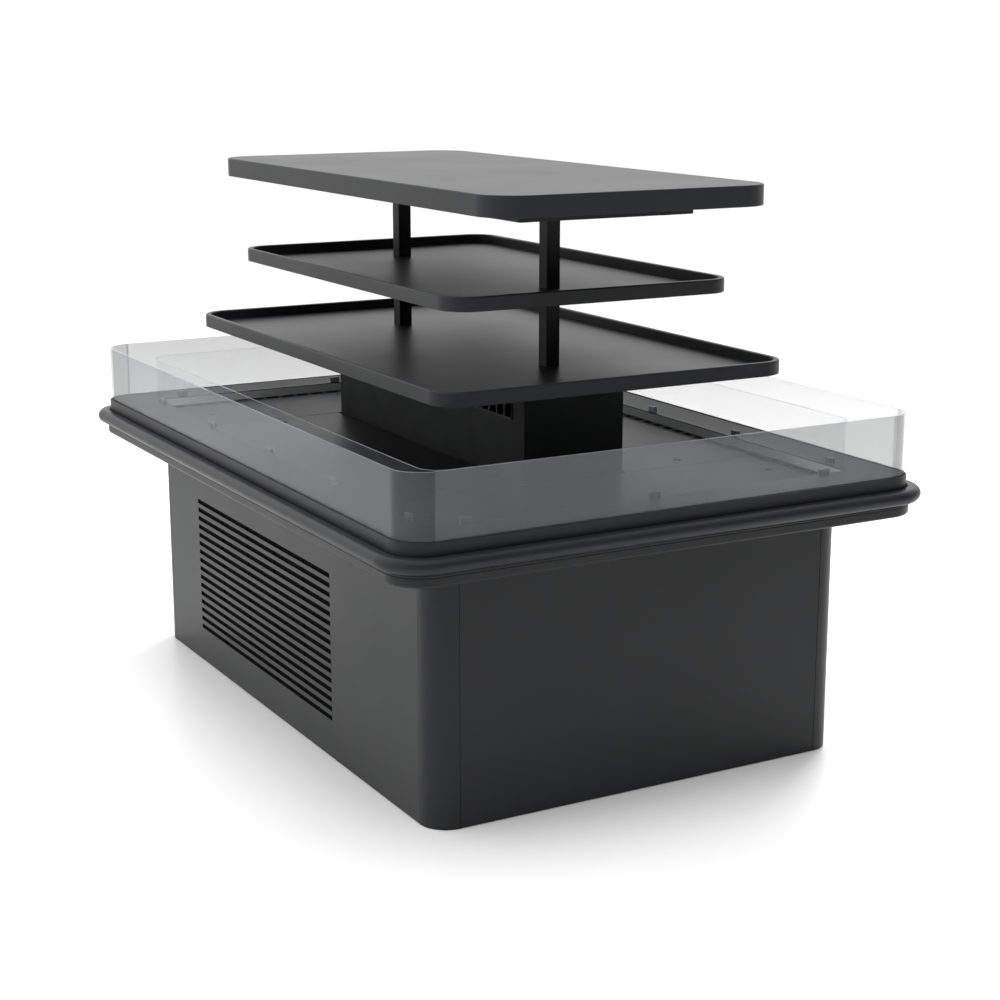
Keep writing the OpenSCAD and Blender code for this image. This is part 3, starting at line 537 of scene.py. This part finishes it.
def swept(name, width, depth, radius, base, points, steps, *materials):
    """A ring of one section round a rounded rectangle; out = 0 is the rectangle's own line."""
    bm = bmesh.new()
    start = Vector((width / 2, -(depth / 2 - radius), base))
    outline = section(bm, start, [(o * MM, u * MM, r * MM) for o, u, r in points])
    carry_round(bm, outline, width, depth, radius, steps)
    return mesh_of(bm, name, *materials)


def loop_round(bm, width, depth, radius, z, steps):
    """One closed line of edges round a rounded rectangle."""
    before = set(bm.edges)
    tip = bm.verts.new((width / 2, -(depth / 2 - radius), z))
    for quarter, (sx, sy) in enumerate([(1, 1), (-1, 1), (-1, -1), (1, -1)]):
        run = (depth if quarter % 2 == 0 else width) - 2 * radius
        grown = bmesh.ops.extrude_vert_indiv(bm, verts=[tip])["verts"]
        ahead = Matrix.Rotation(QUARTER * quarter, 3, "Z") @ Vector((0, run, 0))
        bmesh.ops.translate(bm, verts=grown, vec=ahead)
        turned = bmesh.ops.spin(
            bm,
            geom=grown,
            cent=(sx * (width / 2 - radius), sy * (depth / 2 - radius), z),
            axis=(0, 0, 1),
            angle=QUARTER,
            steps=steps,
            use_merge=False,
            use_duplicate=False,
        )["geom_last"]
        tip = [g for g in turned if isinstance(g, bmesh.types.BMVert)][0]
    line = [e for e in bm.edges if e not in before]
    bmesh.ops.remove_doubles(
        bm, verts=list({v for e in line for v in e.verts}), dist=TOUCHING * 10
    )
    return [e for e in bm.edges if e not in before]


def plate(bm, z, thickness, outer, inner=None, steps=16):
    """A flat plate with its top at z. Its outlines are given as (width, depth, radius)."""
    line = loop_round(bm, *outer, z, steps)
    if inner:
        hole = loop_round(bm, *inner, z, steps)
        faces = bmesh.ops.bridge_loops(bm, edges=line + hole)["faces"]
    else:
        faces = bmesh.ops.edgeloop_fill(bm, edges=line)["faces"]
    grown = bmesh.ops.extrude_face_region(bm, geom=faces)["geom"]
    bmesh.ops.translate(
        bm, verts=[g for g in grown if isinstance(g, bmesh.types.BMVert)], vec=(0, 0, -thickness)
    )
    bmesh.ops.recalc_face_normals(bm, faces=bm.faces)


def join_in(piece, bm):
    """Add a second shape to a piece's mesh."""
    mesh = piece.data
    bm.from_mesh(mesh)
    bm.to_mesh(mesh)
    bm.free()
    mesh.shade_smooth()
    mesh.set_sharp_from_angle(angle=SMOOTH_ANGLE)


# ---------- sizes and colours ----------


class IslandSizes(bpy.types.PropertyGroup):
    """Sizes that the frame's boxes don't hold."""

    rim_radius: FloatProperty(
        name="Rim corner",
        description="Outer corner radius of the deck rim",
        default=0.085,
        unit="LENGTH",
    )
    fence_radius: FloatProperty(
        name="Fence corner",
        description="Outer corner radius of the inner fence",
        default=0.060,
        unit="LENGTH",
    )
    shelf_radius: FloatProperty(
        name="Shelf corner",
        description="Corner radius of the tray shelves",
        default=0.080,
        unit="LENGTH",
    )
    canopy_radius: FloatProperty(
        name="Canopy corner",
        description="Corner radius of the canopy",
        default=0.100,
        unit="LENGTH",
    )
    bend: FloatProperty(
        name="Sheet bend",
        description="Outer radius of a folded sheet edge",
        default=0.0008,
        unit="LENGTH",
    )
    corner_steps: IntProperty(
        name="Corner steps", description="Facets in each rounded corner", default=20, min=8, max=40
    )


class IslandColours(bpy.types.PropertyGroup):
    """Colours and veils that a buyer would choose."""

    cabinet: FloatVectorProperty(
        name="Cabinet",
        description="Powder coat of the cabinet, shelves and canopy",
        subtype="COLOR",
        default=linear("#222325")[:3],
    )
    bumper: FloatVectorProperty(
        name="Bumper",
        description="Vinyl of the bumper",
        subtype="COLOR",
        default=linear("#202123")[:3],
    )
    guard_veil: FloatProperty(
        name="Guard veil",
        description="How much each face of the guard hides",
        default=0.29,
        min=0,
        max=1,
    )
    fence_veil: FloatProperty(
        name="Fence veil",
        description="How much each face of the fence hides",
        default=0.04,
        min=0,
        max=1,
    )
    floor: FloatVectorProperty(
        name="Floor",
        description="The plain floor it stands on",
        subtype="COLOR",
        default=linear("#fafafa")[:3],
    )


FINISH = {}


def sizes():
    """The sizes now set."""
    return bpy.context.scene.island_sizes


# ---------- operators ----------


class ISLAND_OT_finishes(bpy.types.Operator):
    """Make every finish, and put the plain ones on the CAD nodes that stay as they are."""

    bl_idname = "island.finishes"
    bl_label = "Finishes"

    def execute(self, context):
        FINISH.update(make_materials())
        for slot in frame["record"]["materials"]:
            if slot["slot"] not in FINISH:
                raise RuntimeError(f"no finish for slot {slot['slot']}")
        for part in frame["record"]["subparts"]:
            dress(part["node"], FINISH[part["material_slot"]])
        return {"FINISHED"}


class ISLAND_OT_cabinet(bpy.types.Operator):
    """Cabinet skin: plain panels, round corner panels and the louvred panel with its filter."""

    bl_idname = "island.cabinet"
    bl_label = "Cabinet panels"

    def execute(self, context):
        bend = sizes().bend
        for node in ("side_panel_right", "end_panel_front", "end_panel_rear"):
            low, high, size = node_size(node)
            across = 0 if size.x < size.y else 1
            face = high[across] if abs(high[across]) > abs(low[across]) else low[across]

            def on_face(edge, across=across, face=face):
                return all(abs(v.co[across] - face) < TOUCHING * 10 for v in edge.verts)

            softened(node, f"{node}_folded", "charcoal_paint", bend, 4, on_face)
        for place in ("front_left", "front_right", "rear_right", "rear_left"):
            soften_rows((f"corner_panel_{place}", f"corner_{place}_rolled", "charcoal_paint", 0.5))

        face = node_size("louvre_panel")[0].x

        def outer_line(edge):
            return all(abs(v.co.x - face) < TOUCHING * 10 for v in edge.verts)

        softened("louvre_panel", "louvre_panel_pressed", "charcoal_paint", 0.7 * MM, 3, outer_line)
        # The filter takes a black that is partly painted shade.
        softened(
            "air_filter", "air_filter_clipped", "black_plastic", 0.4 * MM, finish="filter_mesh"
        )
        return {"FINISHED"}


class ISLAND_OT_top_frame(bpy.types.Operator):
    """Top frame with its flange, rim, guard channel and deck ledge, and the bumper round it."""

    bl_idname = "island.top_frame"
    bl_label = "Top frame and bumper"

    def execute(self, context):
        s = sizes()
        low, high, size = node_size("top_frame")
        flange = 9.0
        width, depth = size.x - 2 * flange * MM, size.y - 2 * flange * MM
        base = low.z
        frame_piece = swept(
            "top_frame_folded",
            width,
            depth,
            s.rim_radius,
            base,
            [
                # flange, the step above it and the bead under the bumper
                (9, 0, 7),
                (9, 23.5, 0.5),
                (7.5, 23.5, 0),
                (7.5, 26, 0),
                (11.5, 26, 1.5),
                (11.5, 33, 3),
                (4, 35, 0),
                (0, 35, 0),
                # rim, with the channel that holds the guard
                (0, 103, 1.5),
                (-4, 103, 0.8),
                (-4, 85, 0),
                (-14, 85, 0),
                (-14, 103, 0.8),
                (-16, 103, 0),
                (-16, 83, 0),
                (-4, 83, 0),
                # back of the sheet, down to the return under the flange
                (-4, 32.5, 0),
                (6.5, 32.5, 0),
                (6.5, 2.5, 4.5),
                (-85, 2.5, 0),
                (-85, 0, 0),
            ],
            s.corner_steps,
            FINISH["charcoal_paint"],
        )
        cabinet_w = 2 * abs(node_size("louvre_panel")[0].x)
        cabinet_d = 2 * abs(node_size("end_panel_front")[0].y)
        ledge_in = 15 * MM
        extra = bmesh.new()
        plate(
            extra,
            high.z,
            2.5 * MM,
            (width - 2 * ledge_in, depth - 2 * ledge_in, s.rim_radius - ledge_in),
            (cabinet_w, cabinet_d, 30 * MM),
        )
        join_in(frame_piece, extra)
        under = bmesh.new()
        fold = 22 * MM
        plate(
            under,
            base + 2.5 * MM,
            2.5 * MM,
            (width - 2 * 84.5 * MM, depth - 2 * 84.5 * MM, 30 * MM),
            (cabinet_w - 2 * fold, cabinet_d - 2 * fold, 30 * MM),
        )
        join_in(frame_piece, under)
        settle(frame_piece, "cabinet", "charcoal_paint", "top_frame")

        low, _, size = node_size("bumper")
        reach = (size.x - width) / 2 / MM
        tall = size.z / MM
        nose = tall / 2 - 0.2
        groove, sunk = 4, 7
        bumper = swept(
            "bumper_extruded",
            size.x,
            size.y,
            s.rim_radius + reach * MM,
            low.z,
            [
                (0, 0, nose),
                (0, tall, nose),
                (groove - reach, tall, 1.5),
                (groove - reach, tall - sunk, 0),
                (-reach, tall - sunk, 0),
                (-reach, 0, 0),
            ],
            s.corner_steps,
            FINISH["bumper_vinyl"],
        )
        settle(bumper, "cabinet", "bumper_vinyl", "bumper")
        return {"FINISHED"}


class ISLAND_OT_guards(bpy.types.Operator):
    """Outer guard in its rubber channel, and the inner fence in its clips."""

    bl_idname = "island.guards"
    bl_label = "Guard and fence"

    def execute(self, context):
        s = sizes()
        for node, name, inset, face, edge, radius in (
            ("outer_guard", "outer_guard_bent", 6, "guard_acrylic", "guard_edge", s.rim_radius),
            ("inner_fence", "inner_fence_bent", 0, "fence_acrylic", "guard_edge", s.fence_radius),
        ):
            low, _, size = node_size(node)
            thick = 6 if node == "outer_guard" else 5
            piece = swept(
                name,
                size.x,
                size.y,
                radius - inset * MM,
                low.z,
                [
                    (0, 0, 0),
                    (0, size.z / MM, 0.8),
                    (-thick, size.z / MM, 0.8),
                    (-thick, 0, 0),
                ],
                s.corner_steps + 8,
                FINISH[face],
                FINISH[edge],
                FINISH["guard_corner" if node == "outer_guard" else face],
                FINISH["guard_joint" if node == "outer_guard" else face],
            )
            bend = radius - inset * MM
            step = QUARTER / (s.corner_steps + 8)
            # Corner faces get the finish painted darker as shade; joint and top faces get their own
            # finishes.
            for polygon in piece.data.polygons:
                past_x = abs(polygon.center.x) - (size.x / 2 - bend)
                past_y = abs(polygon.center.y) - (size.y / 2 - bend)
                if polygon.normal.z > 0.5:
                    polygon.material_index = 1
                elif past_x > 0 and past_y > 0:
                    turn = math.atan2(past_y, past_x)
                    joint = turn < step or turn > QUARTER - step
                    polygon.material_index = 3 if joint else 2
            settle(piece, "cabinet", "guard_acrylic", node)

        low, _, size = node_size("guard_gasket")
        gasket = swept(
            "guard_gasket_extruded",
            size.x,
            size.y,
            s.rim_radius - 4 * MM,
            low.z,
            [
                (0, 0, 0),
                (0, 18, 0.7),
                (-2, 18, 0.7),
                (-2, 2, 0),
                (-8, 2, 0),
                (-8, 18, 0.7),
                (-10, 18, 0.7),
                (-10, 0, 0),
            ],
            s.corner_steps,
            FINISH["gasket_rubber"],
        )
        settle(gasket, "cabinet", "gasket_rubber", "guard_gasket")
        soften_rows(("fence_clips", "fence_clips_folded", "stainless_steel", 0.5))
        return {"FINISHED"}


class ISLAND_OT_shelves(bpy.types.Operator):
    """Two tray shelves, the arms that carry them and the square uprights."""

    bl_idname = "island.shelves"
    bl_label = "Shelves and uprights"

    def execute(self, context):
        s = sizes()
        hem, sheet, tall = 16, 1.5, 37
        for node in ("lower_shelf", "upper_shelf"):
            low, _, size = node_size(node)
            shelf = swept(
                f"{node}_tray",
                size.x,
                size.y,
                s.shelf_radius,
                low.z,
                [
                    (0, 0, 0.6),
                    (0, tall, 4.5),
                    (-hem, tall, 4.5),
                    (-hem, 0, 0.6),
                    (sheet - hem, 0, 0),
                    (sheet - hem, tall - 7, 0),
                    (-sheet, tall - 7, 0),
                    (-sheet, 0, 0),
                ],
                s.corner_steps,
                FINISH["charcoal_paint"],
            )
            floor_z = low.z + 9.5 * MM
            extra = bmesh.new()
            inset = (hem - 0.5) * MM
            plate(
                extra,
                floor_z,
                sheet * MM,
                (size.x - 2 * inset, size.y - 2 * inset, s.shelf_radius - inset),
            )
            join_in(shelf, extra)
            settle(shelf, "cabinet", "charcoal_paint", node)
        soften_rows(
            ("shelf_brackets", "shelf_arms_cut", "black_paint", 0.8),
            ("upright_front", "upright_front_tube", "black_paint", 1.0),
            ("upright_rear", "upright_rear_tube", "black_paint", 1.0),
        )
        return {"FINISHED"}


class ISLAND_OT_canopy(bpy.types.Operator):
    """Flat canopy with rounded corners, its soffit, lamp housing and diffusers."""

    bl_idname = "island.canopy"
    bl_label = "Canopy"

    def execute(self, context):
        s = sizes()
        low, high, size = node_size("canopy")
        wall, lip, crown = 2, 14, 20
        tall = size.z / MM
        canopy = swept(
            "canopy_folded",
            size.x,
            size.y,
            s.canopy_radius,
            low.z,
            [
                (0, 0, 1.5),
                (0, tall, 3.5),
                (-crown, tall, 0),
                (-crown, tall - wall, 0),
                (-wall, tall - wall, 1.5),
                (-wall, wall, 0),
                (-lip, wall, 0),
                (-lip, 0, 0),
            ],
            s.corner_steps,
            FINISH["charcoal_paint"],
        )
        extra = bmesh.new()
        inset = crown * MM
        plate(
            extra,
            high.z,
            wall * MM,
            (size.x - 2 * inset, size.y - 2 * inset, s.canopy_radius - inset),
            steps=s.corner_steps,
        )
        join_in(canopy, extra)
        settle(canopy, "cabinet", "charcoal_paint", "canopy")
        soften_rows(
            ("canopy_soffit", "canopy_soffit_pressed", "black_paint", 0.6),
            ("lamp_diffusers", "lamp_diffusers_extruded", "opal_plastic", 0.4),
        )
        return {"FINISHED"}


class ISLAND_OT_deck(bpy.types.Operator):
    """Display deck: lift-out pans, return-air grille, pan frame, plenum and its grilles."""

    bl_idname = "island.deck"
    bl_label = "Display deck"

    def execute(self, context):
        for place in ("front", "rear", "left", "right"):
            node = f"deck_pan_{place}"
            top = node_size(node)[1].z

            def on_top(edge, top=top):
                return all(abs(v.co.z - top) < TOUCHING * 10 for v in edge.verts)

            softened(node, f"{node}_folded", "charcoal_paint", 1.2 * MM, 3, on_top)
        soften_rows(
            ("return_grille", "return_grille_punched", "black_paint", 0.4),
            ("pan_supports", "pan_supports_welded", "stainless_steel", 0.5),
            ("plenum", "plenum_folded", "black_paint", 0.5),
            ("discharge_grilles", "discharge_grilles_moulded", "black_plastic", 0.5),
        )
        return {"FINISHED"}


class ISLAND_OT_cold_side(bpy.types.Operator):
    """Tank skins and foam, evaporator, its fan plate, motors and fans."""

    bl_idname = "island.cold_side"
    bl_label = "Tank and evaporator"

    def execute(self, context):
        soften_rows(
            ("tank_liner", "tank_liner_folded", "liner_enamel", 0),
            ("tank_shell", "tank_shell_folded", "galvanised_steel", 0),
            ("tank_insulation", "tank_insulation_poured", "insulation_foam", 0),
            ("evaporator_coil", "evaporator_coil_finned", "fin_aluminium", 0),
            ("evap_fan_plate", "evap_fan_plate_punched", "galvanised_steel", 0.4),
            ("evap_motors", "evap_motors_mounted", "black_paint", 1.0),
            ("evap_fan_left", "evap_fan_left_moulded", "black_plastic", 0.4),
            ("evap_fan_right", "evap_fan_right_moulded", "black_plastic", 0.4),
        )
        return {"FINISHED"}


class ISLAND_OT_condensing_unit(bpy.types.Operator):
    """Compressor, condenser, fan, pipes, trays and the frame that carries them."""

    bl_idname = "island.condensing_unit"
    bl_label = "Condensing unit"

    def execute(self, context):
        soften_rows(
            ("base_frame", "base_frame_welded", "galvanised_steel", 0.8),
            ("unit_tray", "unit_tray_folded", "galvanised_steel", 0.4),
            ("compressor", "compressor_shell_welded", "black_paint", 1.5),
            ("compressor_mounts", "compressor_mounts_moulded", "gasket_rubber", 1.0),
            ("condenser_coil", "condenser_coil_finned", "fin_aluminium", 0),
            ("fan_shroud", "fan_shroud_pressed", "black_paint", 0.4),
            ("condenser_motor", "condenser_motor_mounted", "black_paint", 1.0),
            ("condenser_fan", "condenser_fan_pressed", "fin_aluminium", 0.4),
            ("liquid_line", "liquid_line_brazed", "copper_tube", 0),
            ("suction_line", "suction_line_brazed", "copper_tube", 0),
            ("condensate_pan", "condensate_pan_folded", "galvanised_steel", 0.4),
            ("drain_pipe", "drain_pipe_cut", "white_plastic", 0.4),
            ("electrical_box", "electrical_box_folded", "galvanised_steel", 1.2),
        )
        return {"FINISHED"}


class ISLAND_OT_controls(bpy.types.Operator):
    """Control bezel, thermostat knob, power rocker and the mains inlet."""

    bl_idname = "island.controls"
    bl_label = "Controls"

    def execute(self, context):
        soften_rows(
            ("control_bezel", "control_bezel_moulded", "black_plastic", 0.8, 3),
            ("thermostat_knob", "thermostat_knob_moulded", "black_plastic", 0.3),
            ("power_rocker", "power_rocker_moulded", "black_plastic", 0.6, 3),
            ("power_inlet", "power_inlet_moulded", "black_plastic", 0.6, 3),
        )
        return {"FINISHED"}


class ISLAND_OT_feet(bpy.types.Operator):
    """Four levelling feet."""

    bl_idname = "island.feet"
    bl_label = "Levelling feet"

    def execute(self, context):
        for number in (1, 2, 3, 4):
            foot = f"levelling_foot_{number}"
            soften_rows((foot, f"{foot}_turned", "stainless_steel", 0.5))
        return {"FINISHED"}


class ISLAND_OT_stage(bpy.types.Operator):
    """Pale floor, soft studio light and the camera."""

    bl_idname = "island.stage"
    bl_label = "Stage"

    def execute(self, context):
        scene = context.scene
        low, high = cad_box
        tall = high[2] - low[2]

        # The floor: a wide pale sheet with a faint sheen
        bm = bmesh.new()
        bmesh.ops.create_grid(bm, x_segments=8, y_segments=8, size=30)
        floor = mesh_of(bm, "studio_floor")
        shade = list(scene.island_colours.floor) + [1.0]
        painted = weathered(
            "vinyl_floor_rolled",
            NOISE,
            1.5,
            0.2 * MM,
            1.5,
            (shade, linear("#f8f8f8")),
            (0.32, 0.38),
            Specular_IOR_Level=0.3,
        )
        floor.data.materials.append(painted)

        # Studio room: bright behind and to the sides, dark behind the camera, so that the short end
        # and the near corner stay dark
        bright_way, turn_dark, turn_bright = Vector((-0.25, 0.97, 0.35)), -0.45, 0.5
        dark, bright = 0.2, 1.75
        world = bpy.data.worlds.new("studio")
        scene.world = world
        world.use_nodes = True
        tree = world.node_tree
        tree.nodes.clear()
        towards = add(tree, "ShaderNodeTexCoord").outputs["Generated"]
        side = add(
            tree,
            "ShaderNodeVectorMath",
            {0: towards, 1: bright_way},
            operation="DOT_PRODUCT",
        ).outputs["Value"]
        level = add(
            tree,
            "ShaderNodeMapRange",
            {
                "Value": side,
                "From Min": turn_dark,
                "From Max": turn_bright,
                "To Min": dark,
                "To Max": bright,
            },
        )
        back = add(tree, "ShaderNodeBackground", {"Strength": level.outputs["Result"]})
        add(tree, "ShaderNodeOutputWorld", {"Surface": back.outputs["Background"]})

        # Two square softboxes: place, what they face, size in metres and power in watts
        for name, place, target, size, power in (
            ("key_softbox_right_rear", (3.6, 2.6, 4.6), (0, 0, 0.4), 3.0, 340),
            ("fill_softbox_top", (-1.2, -1.8, 5.2), (-0.2, -0.6, 0.0), 4.5, 195),
        ):
            lamp = bpy.data.lights.new(name, "AREA")
            lamp.shape = "SQUARE"
            lamp.size = size
            lamp.energy = power
            lamp_object = bpy.data.objects.new(name, lamp)
            lamp_object.location = place
            lamp_object.rotation_euler = (
                (Vector(target) - Vector(place)).to_track_quat("-Z", "Y").to_euler()
            )
            lamp_object.visible_glossy = False
            scene.collection.objects.link(lamp_object)

        # Camera: a long lens 5.4 m away and 1.85 m above the floor, turned 29.3 degrees and looking
        # 13.5 degrees down; its place is given in heights of the object
        camera = bpy.data.cameras.new("camera")
        camera.lens = 69.343
        camera.sensor_width = 36
        camera.sensor_fit = "HORIZONTAL"
        camera.clip_end = 100
        turn, down = math.radians(-29.3), math.radians(13.5)
        away = Vector(
            (math.sin(turn) * math.cos(down), -math.cos(turn) * math.cos(down), math.sin(down))
        )
        camera_object = bpy.data.objects.new("camera", camera)
        camera_object.location = Vector((-1.71107, -3.16033, 1.23553)) * tall
        camera_object.rotation_euler = (-away).to_track_quat("-Z", "Y").to_euler()
        scene.collection.objects.link(camera_object)
        scene.camera = camera_object
        scene.view_settings.view_transform = "Standard"
        return {"FINISHED"}


OPERATORS = (
    ISLAND_OT_finishes,
    ISLAND_OT_cabinet,
    ISLAND_OT_top_frame,
    ISLAND_OT_guards,
    ISLAND_OT_shelves,
    ISLAND_OT_canopy,
    ISLAND_OT_deck,
    ISLAND_OT_cold_side,
    ISLAND_OT_condensing_unit,
    ISLAND_OT_controls,
    ISLAND_OT_feet,
    ISLAND_OT_stage,
)


class ISLAND_PT_panel(bpy.types.Panel):
    """Lists the pieces in the 3D view's sidebar."""

    bl_idname = "ISLAND_PT_panel"
    bl_label = "Island merchandiser"
    bl_space_type = "VIEW_3D"
    bl_region_type = "UI"
    bl_category = "Merchandiser"

    def draw(self, context):
        for group in (context.scene.island_sizes, context.scene.island_colours):
            for name in group.bl_rna.properties.keys():
                if name not in ("rna_type", "name"):
                    self.layout.prop(group, name)
        for operator in OPERATORS:
            self.layout.operator(operator.bl_idname)


CLASSES = (IslandSizes, IslandColours, *OPERATORS, ISLAND_PT_panel)


def register():
    """Register the classes and their settings."""
    for kind in CLASSES:
        bpy.utils.register_class(kind)
    bpy.types.Scene.island_sizes = PointerProperty(type=IslandSizes)
    bpy.types.Scene.island_colours = PointerProperty(type=IslandColours)


def unregister():
    """Take the settings and classes away again."""
    del bpy.types.Scene.island_colours
    del bpy.types.Scene.island_sizes
    for kind in reversed(CLASSES):
        bpy.utils.unregister_class(kind)


def main():
    """Build every piece in order."""
    register()
    for operator in OPERATORS:
        group, name = operator.bl_idname.split(".")
        getattr(getattr(bpy.ops, group), name)()


if __name__ == "__main__":
    main()
